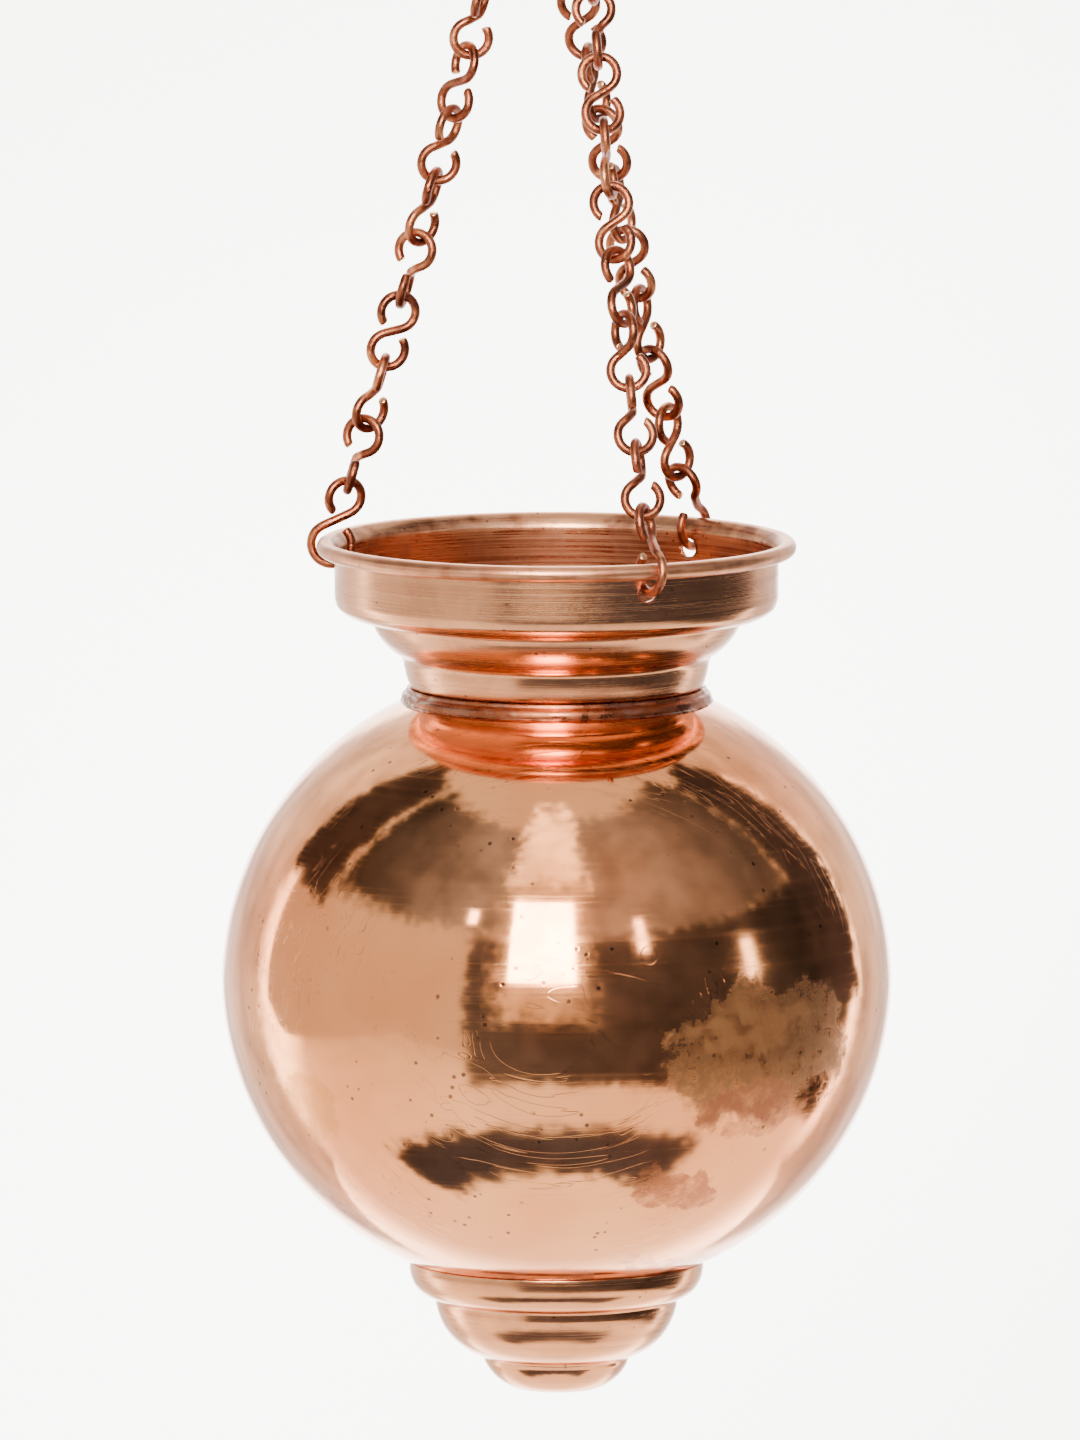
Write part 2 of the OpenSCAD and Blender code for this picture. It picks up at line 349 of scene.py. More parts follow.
class Graph:
    """A material's nodes, made and joined in a few words."""

    def __init__(self, name: str) -> None:
        """Starts an empty material with one metal shader.

        Args:
            name: The material's name.
        """
        self.material = bpy.data.materials.new(name)
        self.material.use_nodes = True
        self.tree = self.material.node_tree
        self.tree.nodes.clear()
        self.out = self.node("OutputMaterial")
        self.shader = self.node("BsdfPrincipled")
        self.tree.links.new(self.shader.outputs[0], self.out.inputs[0])
        self.place = self.node("TexCoord").outputs["Object"]

    def node(self, kind: str, **values: object) -> bpy.types.Node:
        """Adds a node and sets its inputs; an input's name has _ in place of each space."""
        made = self.tree.nodes.new(f"ShaderNode{kind}")
        for name, value in values.items():
            made.inputs[name.replace("_", " ")].default_value = value
        return made

    def link(self, source: Socket, target: Socket) -> None:
        """Joins two sockets."""
        self.tree.links.new(source, target)

    def scaled(self, scale: Point, move: Point = (0, 0, 0)) -> Socket:
        """Object coordinates moved and then scaled along each axis."""
        at = [-m * s for m, s in zip(move, scale)]
        node = self.node("Mapping", Location=at, Scale=scale)
        self.link(self.place, node.inputs["Vector"])
        return node.outputs[0]

    def noise(self, scale: Point | float, detail: float = 3.0, rough: float = 0.55,
              twist: float = 0.0) -> Socket:
        """A cloud pattern.

        Args:
            scale: Features per metre, the same or different along each axis.
            detail: Layers of finer pattern.
            rough: How strong the finer layers are.
            twist: How far the pattern is pulled out of shape.

        Returns:
            A number of about 0.2 to 0.8.
        """
        node = self.node("TexNoise", Scale=1.0, Detail=detail, Roughness=rough, Distortion=twist)
        each = (scale, scale, scale) if isinstance(scale, (int, float)) else scale
        self.link(self.scaled(each), node.inputs["Vector"])
        return node.outputs["Fac"]

    def dots(self, scale: float, size: float) -> Socket:
        """Specks: 1 within size of a cell's centre, 0 elsewhere."""
        node = self.node("TexVoronoi", Scale=1.0)
        self.link(self.scaled((scale, scale, scale)), node.inputs["Vector"])
        return self.ranged(node.outputs["Distance"], size, size * 0.6)

    def ranged(self, value: Socket, low: float, high: float, to_low: float = 0.0,
               to_high: float = 1.0) -> Socket:
        """Sends low to high of a value to to_low to to_high: eased, or straight if low is above."""
        node = self.node("MapRange", From_Min=low, From_Max=high, To_Min=to_low, To_Max=to_high)
        node.interpolation_type = "SMOOTHSTEP" if low < high else "LINEAR"
        self.link(value, node.inputs["Value"])
        return node.outputs["Result"]

    def maths(self, kind: str, a: Socket,
              b: Socket | float) -> Socket:
        """Two values joined by an operation, by Blender's name for it."""
        node = self.node("Math")
        node.operation = kind
        self.link(a, node.inputs[0])
        if isinstance(b, (int, float)):
            node.inputs[1].default_value = b
        else:
            self.link(b, node.inputs[1])
        return node.outputs[0]

    def times(self, a: Socket, b: Socket | float) -> Socket:
        """The product of two values."""
        return self.maths("MULTIPLY", a, b)

    def plus(self, a: Socket, b: Socket | float) -> Socket:
        """The sum of two values."""
        return self.maths("ADD", a, b)

    def mixed(self, share: Socket, a: Socket | Colour,
              b: Socket | Colour) -> Socket:
        """Colour a where share is 0 and colour b where it is 1."""
        node = self.node("Mix")
        node.data_type = "RGBA"
        self.link(share, node.inputs[0])
        for value, socket in ((a, node.inputs[6]), (b, node.inputs[7])):
            if isinstance(value, tuple):
                socket.default_value = (*value, 1)
            else:
                self.link(value, socket)
        return node.outputs[2]

    def attribute(self, name: str) -> Socket:
        """A number stored on the piece's points."""
        node = self.node("Attribute")
        node.attribute_name = name
        return node.outputs["Fac"]

    def spot(self, centre: Point, size: Point, soft: float, ragged: float,
             grain: float = 60.0) -> Socket:
        """A patch: 1 inside an ellipsoid round centre, 0 outside, its edge broken by clouds.

        Args:
            centre: Its middle, in millimetres.
            size: Its half-sizes, in millimetres.
            soft: Width of its edge as a share of its size.
            ragged: How far clouds push its edge in and out, as a share of its size.
            grain: Clouds per metre.

        Returns:
            The patch's strength.
        """
        at = self.scaled(tuple(1 / (s * MM) for s in size), tuple(c * MM for c in centre))
        node = self.node("VectorMath")
        node.operation = "LENGTH"
        self.link(at, node.inputs[0])
        cloud = self.ranged(self.noise(grain, 4.0, 0.6), 0.25, 0.75, -ragged, ragged)
        edge = self.plus(node.outputs["Value"], cloud)
        return self.ranged(edge, 1 + soft / 2, 1 - soft / 2)

    def bump(self, height: Socket, depth: float) -> None:
        """Lets a pattern stand depth millimetres out of the surface, on top of earlier bumps."""
        node = self.node("Bump", Strength=1.0, Distance=depth * MM)
        self.link(height, node.inputs["Height"])
        normal = self.shader.inputs["Normal"]
        if normal.is_linked:
            self.link(normal.links[0].from_socket, node.inputs["Normal"])
        self.link(node.outputs[0], normal)

    def cover(self, share: Socket, look: Socket,
              solid_at: int) -> None:
        """Shows a look where share equals solid_at, 0 or 1, and lets light through at the other."""
        clear = self.node("BsdfTransparent")
        both = self.node("MixShader")
        self.link(share, both.inputs[0])
        self.link(clear.outputs[0], both.inputs[2 - solid_at])
        self.link(look, both.inputs[1 + solid_at])
        self.link(both.outputs[0], self.out.inputs[0])

    def metal(self, colour: Socket, rough: Socket,
              grain: float = 0.0) -> Material:
        """Finishes the shader as metal.

        Args:
            colour: The metal's colour.
            rough: Its roughness.
            grain: Strength of the brushed highlight that runs round Z, 0 for none.

        Returns:
            The finished material.
        """
        self.shader.inputs["Metallic"].default_value = 1.0
        self.link(colour, self.shader.inputs["Base Color"])
        self.link(rough, self.shader.inputs["Roughness"])
        if grain:
            self.shader.inputs["Anisotropic"].default_value = grain
            turn = self.node("Tangent")
            turn.direction_type = "RADIAL"
            turn.axis = "Z"
            self.link(turn.outputs[0], self.shader.inputs["Tangent"])
        return self.material


@dataclass(frozen=True)
class Patch:
    """One place where the polish has gone: its middle, half-sizes, colour and strength."""

    centre: Point
    size: Point
    colour: Colour
    strength: float
    ragged: float
    dullness: float


@dataclass(frozen=True)
class MirrorCopper:
    """Polished spun copper with tarnish patches, specks, hairlines and spinning lines."""

    bright: Colour = (0.92, 0.365, 0.135)
    ruddy: Colour = (0.80, 0.26, 0.085)
    speck: Colour = (0.08, 0.03, 0.02)
    patches: tuple[Patch, ...] = (
        Patch((50, -62, GLOBE_Z - 9), (26, 30, 17), (0.34, 0.145, 0.055), 0.95, 0.24, 0.36),
        Patch((42, -64, GLOBE_Z - 2), (17, 24, 7), (0.36, 0.15, 0.05), 0.60, 0.50, 0.22),
        Patch((52, -60, GLOBE_Z - 24), (13, 30, 6), (0.45, 0.14, 0.06), 0.75, 0.70, 0.22),
        Patch((29, -66, GLOBE_Z - 44), (10, 24, 6), (0.38, 0.11, 0.045), 0.85, 0.60, 0.20),
        Patch((-60, -50, GLOBE_Z - 25), (9, 16, 9), (0.62, 0.22, 0.055), 0.8, 0.55, 0.12),
        Patch((20, -35, GLOBE_Z - 71), (26, 30, 5), (0.42, 0.14, 0.05), 0.80, 1.00, 0.15),
        Patch((-30, 70, GLOBE_Z + 5), (24, 34, 16), (0.30, 0.12, 0.04), 0.70, 0.80, 0.20),
    )

    def build(self) -> Material:
        """Makes the material."""
        g = Graph("mirror_copper")
        colour = g.mixed(g.ranged(g.noise(16, 3), 0.35, 0.7), self.bright, self.ruddy)
        rough = g.ranged(g.noise(24, 5, 0.6), 0.3, 0.75, 0.055, 0.125)
        lines = g.noise((5, 5, 1500), 3, 0.6, 0.1)
        rough = g.plus(rough, g.ranged(lines, 0.45, 0.85, 0, 0.09))
        mottle = g.ranged(g.noise(230, 4, 0.7), 0.3, 0.62, 0.35, 1)
        for patch in self.patches:
            mask = g.spot(patch.centre, patch.size, 0.16, patch.ragged, 70)
            share = g.times(g.times(mask, mottle), patch.strength)
            colour = g.mixed(share, colour, patch.colour)
            rough = g.plus(rough, g.times(share, patch.dullness))
        few = g.ranged(g.noise(45, 2), 0.52, 0.6)
        specks = g.times(g.dots(260, 0.17), few)
        colour = g.mixed(g.times(specks, 0.8), colour, self.speck)
        hair = g.noise((12, 260, 60), 2, 0.5, 1.5)
        scratch = g.times(g.ranged(hair, 0.492, 0.5), g.ranged(hair, 0.508, 0.5))
        scratch = g.times(scratch, g.ranged(g.noise(30, 1), 0.5, 0.62))
        colour = g.mixed(g.times(scratch, 0.35), colour, self.speck)
        shoulder = g.spot((0, 0, GLOBE_Z + 77), (46, 46, 10), 0.25, 0.06)
        colour = g.mixed(g.times(shoulder, 0.8), colour, (0.30, 0.13, 0.075))
        g.bump(g.times(g.noise((480, 480, 60), 2), shoulder), 0.10)
        g.bump(lines, 0.0045)
        g.bump(g.noise(70, 2), 0.022)
        g.bump(g.plus(specks, scratch), -0.01)
        return g.metal(colour, g.maths("MINIMUM", rough, 0.6))


@dataclass(frozen=True)
class BrushedCopper:
    """Satin copper with fine lines round the axis, brown tarnish, and edges rubbed bright."""

    name: str
    bright: Colour = (0.70, 0.29, 0.13)
    brown: Colour = (0.34, 0.125, 0.06)
    edge: Colour = (0.90, 0.43, 0.21)
    tarnish: float = 0.5
    polish: float = 0.16
    grain: float = 0.5
    line_depth: float = 0.010

    def build(self) -> Material:
        """Makes the material."""
        g = Graph(self.name)
        fine = g.noise((14, 14, 2600), 4, 0.65, 0.2)
        broad = g.noise((9, 9, 320), 4, 0.6, 0.3)
        stain = g.ranged(g.noise(48, 5, 0.65, 0.8), 0.42, 0.68)
        share = g.times(stain, self.tarnish)
        share = g.plus(share, g.ranged(broad, 0.4, 0.75, 0, 0.35))
        colour = g.mixed(share, self.bright, self.brown)
        colour = g.mixed(g.ranged(fine, 0.35, 0.7, 0, 0.30), colour, self.edge)
        worn = g.times(g.attribute("edge_wear"), g.ranged(g.noise(120, 3), 0.35, 0.6))
        colour = g.mixed(g.times(worn, 0.6), colour, self.edge)
        specks = g.times(g.dots(330, 0.16), g.ranged(g.noise(60, 2), 0.5, 0.62))
        colour = g.mixed(g.times(specks, 0.7), colour, (0.08, 0.03, 0.02))
        rough = g.plus(g.ranged(fine, 0.3, 0.75, self.polish, self.polish + 0.16),
                       g.times(share, 0.12))
        g.bump(fine, self.line_depth)
        g.bump(g.noise(90, 3), 0.03)
        return g.metal(colour, rough, self.grain)


@dataclass(frozen=True)
class SolderedCopper:
    """Filed copper with silvery solder smeared over it in places."""

    name: str = "soldered_copper"
    cover: float = 0.5
    tin: Colour = (0.52, 0.38, 0.30)
    copper: Colour = (0.34, 0.10, 0.04)

    def build(self) -> Material:
        """Makes the material."""
        g = Graph(self.name)
        smear = g.ranged(g.noise((75, 75, 200), 5, 0.65, 0.6), self.cover - 0.05, self.cover + 0.05)
        left = g.spot((-36, -10, BASE_Z + 172), (9, 16, 9), 0.5, 0.3)
        right = g.spot((33, -14, BASE_Z + 172), (9, 16, 9), 0.5, 0.3)
        here = g.plus(g.maths("MAXIMUM", left, right), 0.12)
        smear = g.times(smear, g.maths("MINIMUM", here, 1.0))
        copper = g.mixed(g.ranged(g.noise(140, 4), 0.35, 0.7), self.copper, (0.22, 0.065, 0.028))
        colour = g.mixed(smear, copper, self.tin)
        grey = g.ranged(g.noise(420, 3), 0.45, 0.7, 0, 0.5)
        colour = g.mixed(g.times(grey, smear), colour, (0.26, 0.19, 0.14))
        rough = g.ranged(g.noise(300, 4), 0.3, 0.7, 0.22, 0.46)
        g.bump(smear, 0.08)
        g.bump(g.noise((260, 260, 900), 4), 0.04)
        return g.metal(colour, rough)


@dataclass(frozen=True)
class WireCopper:
    """Dull drawn wire: reddish satin copper with plier marks, brown hollows and bright cut ends."""

    name: str = "wire_copper"
    body: Colour = (0.37, 0.105, 0.045)
    brown: Colour = (0.17, 0.045, 0.022)
    rubbed: Colour = (0.66, 0.24, 0.10)
    cut: Colour = (0.90, 0.50, 0.25)

    def build(self) -> Material:
        """Makes the material."""
        g = Graph(self.name)
        colour = g.mixed(g.ranged(g.noise(170, 4, 0.6), 0.38, 0.68), self.body, self.brown)
        colour = g.mixed(g.ranged(g.noise(95, 3, 0.5, 0.5), 0.54, 0.7, 0, 0.75), colour,
                         self.rubbed)
        colour = g.mixed(g.ranged(g.attribute("cut_end"), 0.45, 0.9, 0, 0.9), colour, self.cut)
        rough = g.ranged(g.noise(260, 4, 0.6), 0.3, 0.75, 0.27, 0.48)
        marks = g.noise((420, 420, 420), 2, 0.5, 1.2)
        g.bump(g.ranged(marks, 0.5, 0.66), -0.05)
        g.bump(g.noise(1500, 3), 0.012)
        return g.metal(colour, rough)


# The pot ------------------------------------------------------------------------------------


@dataclass
class Globe:
    """The spun globe: two bowls of round arc that meet at the middle, open at neck and foot."""

    radius: float = 82.5
    full_height: float = 158.4
    overlap: float = 2.8
    neck_hole: float = 35.0
    foot_hole: float = 30.0
    sheet: float = 0.9
    measured_at: float = 36.9
    arc: float = field(init=False)
    off: float = field(init=False)

    def __post_init__(self) -> None:
        """Works out the bowls' arc radius and how far its centre is off the axis."""
        rise = self.full_height / 2 * math.sqrt(1 - (self.measured_at / self.radius) ** 2)
        inward = self.radius - self.measured_at
        self.arc = (rise**2 + inward**2) / (2 * inward)
        self.off = self.radius - self.arc

    def bowl(self, up: int, grow: float, hole: float, steps: int) -> np.ndarray:
        """An arc of radius arc + grow from the middle of the globe to the hole's edge.

        Args:
            up: 1 for the upper bowl, -1 for the lower.
            grow: How far outside the outer face the line runs.
            hole: Radius at which it ends.
            steps: Points along it.

        Returns:
            An (n, 2) line from the middle outwards.
        """
        radius = self.arc + grow
        start = math.asin(self.overlap / 2 / radius)
        angle = np.linspace(start, math.acos((hole - self.off) / radius), steps)
        middle = GLOBE_Z - up * self.overlap / 2
        return np.stack([self.off + radius * np.cos(angle),
                         middle + up * radius * np.sin(angle)], 1)

    def build(self, finish: Material) -> None:
        """Makes the globe's wall: outer line from the foot up to the neck, and back inside."""
        outer = np.vstack([self.bowl(-1, 0, self.foot_hole, 110)[::-1],
                           self.bowl(1, 0, self.neck_hole, 110)[1:]])
        inner = np.vstack([self.bowl(1, -self.sheet, self.neck_hole, 50)[::-1],
                           self.bowl(-1, -self.sheet, self.foot_hole, 50)[1:]])
        piece = lathe("globe_shell", np.vstack([outer, inner]), Dents(0.07, 11))
        settle(piece, (finish,), Body.POT.value, Slot.POLISHED, "globe")

    def height(self, radius: np.ndarray) -> np.ndarray:
        """Height of the upper bowl's outer face at a radius."""
        return GLOBE_Z - self.overlap / 2 + np.sqrt(self.arc**2 - (radius - self.off) ** 2)


@dataclass
class Neck:
    """The collar between globe and mouth, and the lumpy solder that holds it."""

    globe: Globe
    sleeve: float = 34.95
    collar: float = 37.0
    ridge: float = 38.2
    top: float = 174.1

    def build(self, finish: Material, tin: Material) -> None:
        """Makes the collar and the ring of solder round its foot."""
        z = self.globe.height(np.array([self.sleeve, self.ridge])) + 0.05
        outline = np.vstack([
            [[self.sleeve, BASE_Z + self.top], [self.sleeve, z[0]], [self.ridge, z[1]]],
            bow((self.ridge, z[1] + 1.2), (self.collar, BASE_Z + 173.2), 0.3, 5),
            [[self.collar - 0.1, BASE_Z + self.top]]])
        piece = lathe("collar_ring", stepped(rounded(outline, 0.3), 0.4), Dents(0.05, 3))
        settle(piece, (finish,), Body.POT.value, Slot.SOLDERED, "neck_collar")
        self.solder(tin)

    def solder(self, tin: Material) -> None:
        """A lumpy ring: at angle a round the pot and b round its section, the point is
        (R + s(a) cos b) out from the axis and s(a) sin b up, with s a sum of sines of a.
        """
        a, b = two_turns(480, 12)
        lumps = 0.22 + 0.10 * np.sin(7 * a + 1) + 0.06 * np.sin(19 * a) + 0.04 * np.sin(53 * a + 2)
        size = np.clip(lumps, 0.08, 0.5)
        out = self.ridge - 0.05 + 0.12 * np.sin(11 * a) + size * 1.25 * np.cos(b)
        up = self.globe.height(np.array([self.ridge]))[0] + 0.15 + size * np.sin(b)
        points = np.stack([out * np.cos(a), out * np.sin(a), up], -1).reshape(-1, 3)
        piece = mesh_object("neck_solder", points, [grid_faces(*a.shape, True, True)])
        settle(piece, (tin,), Body.POT.value, Slot.SOLDERED)


@dataclass
class Mouth:
    """The stepped, flared mouth with its straight band, rolled rim and three chain holes."""

    sheet: float = 0.9
    rim: float = 57.0
    roll: float = 2.0
    band: float = 54.6
    hole: float = 2.3
    hole_drop: float = 5.3
    bearings: tuple[float, ...] = (172.5, 52.5, -66.0)

    def outline(self) -> tuple[np.ndarray, int, int]:
        """The closed half section.

        Returns:
            The outline, the number of its outer points, and the number up to the end of the roll.
        """
        outer = np.vstack([
            [[34.9, -38.4], [34.9, -34.5]],
            bow((36, -34.4), (37.7, -27.8), 0.25, 6),
            bow((38.3, -26.6), (45.6, -17.8), 1.1, 14),
            bow((46.3, -16.9), (self.band - 0.6, -14.4), 1.2, 10),
            [[self.band, -12.4], [self.band, -1.6]]])
        start = math.radians(208)
        angle = np.linspace(start, start + math.radians(282), 30)
        roll = np.stack([self.rim + self.roll * np.cos(angle), self.roll * np.sin(angle)], 1)
        inner = (outer + [-self.sheet, self.sheet])[::-1]
        spaced = [stepped(rounded(outer, 0.45, closed=False), 0.75, closed=False), roll,
                  stepped(rounded(inner, 0.45, closed=False), 1.1, closed=False)]
        line = np.vstack(spaced) + [0, RIM_Z]
        return line, len(spaced[0]), len(spaced[0]) + len(roll)

    def build(self, band: Material, roll: Material,
              inside: Material, burr: Material) -> None:
        """Makes the wall, cuts the chain holes, and raises a burr round each."""
        line, outer_end, roll_end = self.outline()
        piece = lathe("mouth_wall", line, Dents(0.06, 5))
        for finish in (band, roll, inside):
            piece.data.materials.append(finish)
        row = np.repeat(np.arange(len(line)), TURN_STEPS)
        which = (row >= outer_end - 1).astype(int) + (row >= roll_end - 1)
        piece.data.polygons.foreach_set("material_index", which.astype(np.int32))
        self.cut(piece)
        settle(piece, (), Body.POT.value, Slot.BRUSHED, "mouth")
        for number, bearing in enumerate(self.bearings):
            self.burr(f"hole_burr_{number + 1}", math.radians(bearing), burr)

    def cut(self, piece: Object) -> None:
        """Takes the three holes out of the wall with one drill shape and keeps the result."""
        sides, half_length = 40, 4
        parts, faces = [], []
        turn = np.linspace(0, 2 * math.pi, sides, endpoint=False)
        for number, bearing in enumerate(np.radians(self.bearings)):
            out = np.array([math.cos(bearing), math.sin(bearing), 0])
            side = np.array([-math.sin(bearing), math.cos(bearing), 0])
            disc = self.hole * (np.cos(turn)[:, None] * side + np.sin(turn)[:, None] * [0, 0, 1])
            middle = np.array([0, 0, RIM_Z - self.hole_drop])
            centres = [middle + out * reach
                       for reach in (self.band - half_length, self.band + half_length)]
            parts += [centre + disc for centre in centres] + [centre[None] for centre in centres]
            base = number * (2 * sides + 2)
            i = base + np.arange(sides)
            j = base + (np.arange(sides) + 1) % sides
            tips = [np.full(sides, base + 2 * sides + end) for end in (0, 1)]
            faces += [np.stack([i, j, j + sides, i + sides], 1).tolist(),
                      np.stack([j, i, tips[0]], 1).tolist(),
                      np.stack([i + sides, j + sides, tips[1]], 1).tolist()]
        mesh = bpy.data.meshes.new("drill")
        mesh.from_pydata((np.vstack(parts) * MM).tolist(), [], [f for g in faces for f in g])
        drill = bpy.data.objects.new("drill", mesh)
        bpy.context.scene.collection.objects.link(drill)
        cutting = piece.modifiers.new("holes", "BOOLEAN")
        cutting.operation = "DIFFERENCE"
        cutting.solver = "EXACT"
        cutting.object = drill
        bpy.context.view_layer.update()
        shaped = bpy.data.meshes.new_from_object(
            piece.evaluated_get(bpy.context.evaluated_depsgraph_get()))
        piece.modifiers.clear()
        piece.data = shaped
        bpy.data.objects.remove(drill)

    def burr(self, name: str, bearing: float, finish: Material) -> None:
        """A thin uneven lip round a hole: a circle of radius hole + 0.2 on the band's face, with
        a section of 0.12 to 0.32 mm that swells and shrinks round it.

        Args:
            name: The piece's name.
            bearing: Where the hole is round the rim, in radians.
            finish: Its material.
        """
        a, b = two_turns(64, 8)
        size = 0.22 + 0.06 * np.sin(3 * a + bearing) + 0.04 * np.sin(8 * a)
        reach = self.hole + 0.22 + size * np.cos(b)
        side, up = reach * np.cos(a), reach * np.sin(a)
        out = np.sqrt(self.band**2 - side**2) + 0.02 + 0.7 * size * np.sin(b)
        c, s = math.cos(bearing), math.sin(bearing)
        points = np.stack([out * c - side * s, out * s + side * c,
                           up + RIM_Z - self.hole_drop], -1).reshape(-1, 3)
        piece = mesh_object(name, points, [grid_faces(*a.shape, True, True)])
        settle(piece, (finish,), Body.POT.value, Slot.BRUSHED)


@dataclass
class Foot:
    """Three stepped tiers that narrow to a flat base with the drip hole."""

    radius: float = 36.3
    sheet: float = 0.9
    floor: float = 1.0
    drip: float = 1.5

    def build(self, finish: Material) -> None:
        """Makes the foot's wall: down the tiers, across the base, and back up inside."""
        outer = np.vstack([
            [[self.radius, 31.85], [self.radius, 30.6]],
            bow((self.radius, 30), (30.4, 22.6), -1.6, 16),
            [[29.9, 22.4]], bow((29.7, 20.4), (18.6, 8.1), -2.3, 20),
            [[18, 7.8]], bow((17.7, 6.6), (10.3, 0), -1.1, 12)])
        inner = (outer + [-self.sheet, self.sheet])[::-1]
        inner = inner[(inner[:, 1] > self.floor + 0.05) & (inner[:, 1] < 30.4)]
        outline = np.vstack([outer, [[self.drip, 0], [self.drip, self.floor],
                                     [10, self.floor]], inner, [[33.5, 30.6]]])
        line = stepped(rounded(outline, 0.35), 0.7) + [0, BASE_Z]
        piece = lathe("foot_tiers", line, Dents(0.07, 8))
        settle(piece, (finish,), Body.POT.value, Slot.BRUSHED, "foot")


# Wire ---------------------------------------------------------------------------------------


def unit(v: np.ndarray) -> np.ndarray:
    """A direction of length 1."""
    return v / np.linalg.norm(v)


@dataclass
class BentWire:
    """A wire bent into an S: an eye round each of two points and a waist that crosses between."""

    top: np.ndarray
    low: np.ndarray
    top_r: float
    low_r: float
    top_roll: float
    low_roll: float
    wire: float
    turns: tuple[float, float]
    seed: int

    def path(self) -> tuple[np.ndarray, np.ndarray]:
        """The wire's middle line, and a side direction along it.

        In the link's own axes, with Z from low to top, an eye's point at angle q is
        centre + r (cos q e + sin q z), with e the X axis rolled about Z. The ends of the two eyes
        are joined by a straight waist, and the joint is then eased by a running mean.

        Returns:
            Two (n, 3) arrays.
        """
        z = unit(self.top - self.low)
        x = unit(np.array([1.0, 0, 0]) - z[0] * z)
        y = np.cross(z, x)
        span = float(np.linalg.norm(self.top - self.low))
        lean = math.degrees(math.asin((self.top_r + self.low_r) / span))
        twist = (self.low_roll - self.top_roll + 450) % 180 - 90
        rolls = np.radians([self.top_roll, self.top_roll + twist])
        e = [math.cos(roll) * x + math.sin(roll) * y for roll in rolls]
        sides = [np.cross(z, each) for each in e]
        top_q = np.radians(np.linspace(-lean + self.turns[0], -lean, 64))[:, None]
        low_q = np.radians(np.linspace(180 - lean, 180 - lean + self.turns[1], 64))[:, None]
        upper = self.top + self.top_r * (np.cos(top_q) * e[0] + np.sin(top_q) * z)
        lower = self.low + self.low_r * (np.cos(low_q) * e[1] + np.sin(low_q) * z)
        t = np.linspace(0, 1, 14)[1:-1, None]
        waist = (1 - t) * upper[-1] + t * lower[0]
        line = np.vstack([upper, waist, lower])
        share = np.concatenate([np.zeros(64), t[:, 0], np.ones(64)])[:, None]
        side = (1 - share) * sides[0] + share * sides[1]
        eased = line.copy()
        for _ in range(5):
            eased[58:-58] = (eased[57:-59] + 2 * eased[58:-58] + eased[59:-57]) / 4
        return eased, side

    def build(self, name: str, sides: int = 20) -> Object:
        """Makes the wire, a little uneven in thickness, with its edges eased at each cut."""
        line, side = self.path()
        run = distances(line)
        draw = np.random.default_rng(self.seed)
        start, pitch = draw.uniform(0, 6, 3), draw.uniform(0.4, 1.3, 3)
        uneven = sum(np.sin(run * p + s) for p, s in zip(pitch, start)) / 3
        end = np.minimum(run, run[-1] - run)
        radius = self.wire * (0.985 + 0.012 * uneven) * (1 - 0.2 * np.exp(-end / 0.16))
        return tube(name, line, side, radius, sides, float(draw.uniform(-0.35, 0.35)))


@dataclass
class Hanger:
    """The hook that the pot hangs from, and the ring that gathers its chains."""

    ring_r: float = 16.0
    ring_wire: float = 1.5
    hook_wire: float = 1.75
    top_z: float = -7.25
    low_z: float = -26.25

    def build(self, finish: Material) -> None:
        """Makes the hook and the ring."""
        hook = BentWire(np.array([0, 0, self.top_z]), np.array([0, 0, self.low_z]), 9.0, 6.0, 90,
                        90, self.hook_wire, (225, 235), 90).build("hook_wire", 28)
        settle(hook, (finish,), Body.HANGER.value, Slot.CHAIN, "hook")
        self.ring(finish)

    def ring(self, finish: Material) -> None:
        """A torus in the XZ plane: at angle a round it and b round the wire, the point is
        (R + w cos b) along the spoke at a, and w sin b along Y; w swells at the brazed joint.
        """
        a, b = two_turns(180, 24)
        off = np.abs((a - math.radians(35) + math.pi) % (2 * math.pi) - math.pi)
        wire = self.ring_wire * (0.985 + 0.01 * np.sin(5 * a) + 0.07 * np.exp(-(off / 0.05) ** 2))
        spoke = self.ring_r + wire * np.cos(b)
        points = np.stack([spoke * np.cos(a), wire * np.sin(b), RING_Z + spoke * np.sin(a)], -1)
        piece = mesh_object("ring_wire", points.reshape(-1, 3), [grid_faces(*a.shape, True, True)])
        joint = np.exp(-(off / 0.06) ** 2)
        point_attribute(piece, "cut_end", joint)
        settle(piece, (finish,), Body.RING.value, Slot.CHAIN, "gathering_ring")


